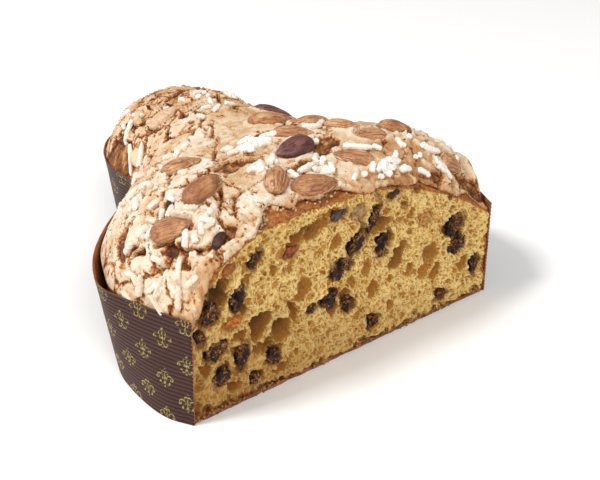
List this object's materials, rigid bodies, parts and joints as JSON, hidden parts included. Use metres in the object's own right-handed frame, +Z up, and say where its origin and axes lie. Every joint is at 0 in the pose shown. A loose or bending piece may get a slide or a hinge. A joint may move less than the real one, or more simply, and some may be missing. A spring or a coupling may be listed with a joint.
{
  "type": "cut colomba cake in its paper case",
  "caption": "Dove-shaped festive sweet bread cut across its wings, with a cracked almond and sugar glaze, a porous crumb with chocolate and fruit, in a ribbed paper case.",
  "frame": {"origin": "middle of the flat base, on the surface that the cake stands on", "axes": "+Z up; -Y out of the cut face; +Y towards the head of the dove; +X to the right along the cut, seen from the cut side"},
  "size_m": [0.218, 0.211, 0.1038],
  "materials": {
    "paper": "matt corrugated baking paper, dark brown with a pale gold printed ornament",
    "crumb": "open golden yellow crumb with a browned crust",
    "glaze": "dry cracked cream to tan meringue glaze with white sugar nibs",
    "almond_skin": "wrinkled brown almond skin",
    "dark_almond_skin": "dark roasted purple-brown almond skin",
    "chocolate": "dark chocolate, broken",
    "candied_fruit": "moist raisin and candied peel"
  },
  "bodies": {
    "root": {"paper_case": "paper", "crumb": "crumb", "glaze": "glaze", "almond_01": "almond_skin", "almond_02": "almond_skin", "almond_03": "almond_skin", "almond_04": "almond_skin", "almond_05": "dark_almond_skin", "almond_06": "almond_skin", "almond_07": "dark_almond_skin", "almond_08": "almond_skin", "almond_09": "almond_skin", "almond_10": "almond_skin", "almond_11": "almond_skin", "almond_12": "almond_skin", "almond_13": "almond_skin", "almond_14": "almond_skin", "almond_15": "almond_skin", "almond_16": "almond_skin", "almond_17": "almond_skin", "chocolate_01": "chocolate", "chocolate_02": "chocolate", "chocolate_03": "chocolate", "chocolate_04": "chocolate", "chocolate_05": "chocolate", "chocolate_06": "chocolate", "chocolate_07": "chocolate", "chocolate_08": "chocolate", "chocolate_09": "chocolate", "chocolate_10": "chocolate", "chocolate_11": "chocolate", "chocolate_12": "chocolate", "chocolate_13": "chocolate", "chocolate_14": "chocolate", "chocolate_15": "chocolate", "chocolate_16": "chocolate", "chocolate_17": "chocolate", "chocolate_18": "chocolate", "chocolate_19": "chocolate", "chocolate_20": "chocolate", "chocolate_21": "chocolate", "fruit_01": "candied_fruit", "fruit_02": "candied_fruit", "fruit_03": "candied_fruit", "fruit_04": "candied_fruit", "fruit_05": "candied_fruit", "fruit_06": "candied_fruit", "fruit_07": "candied_fruit", "fruit_08": "candied_fruit", "fruit_09": "candied_fruit"}
  },
  "joints": []
}
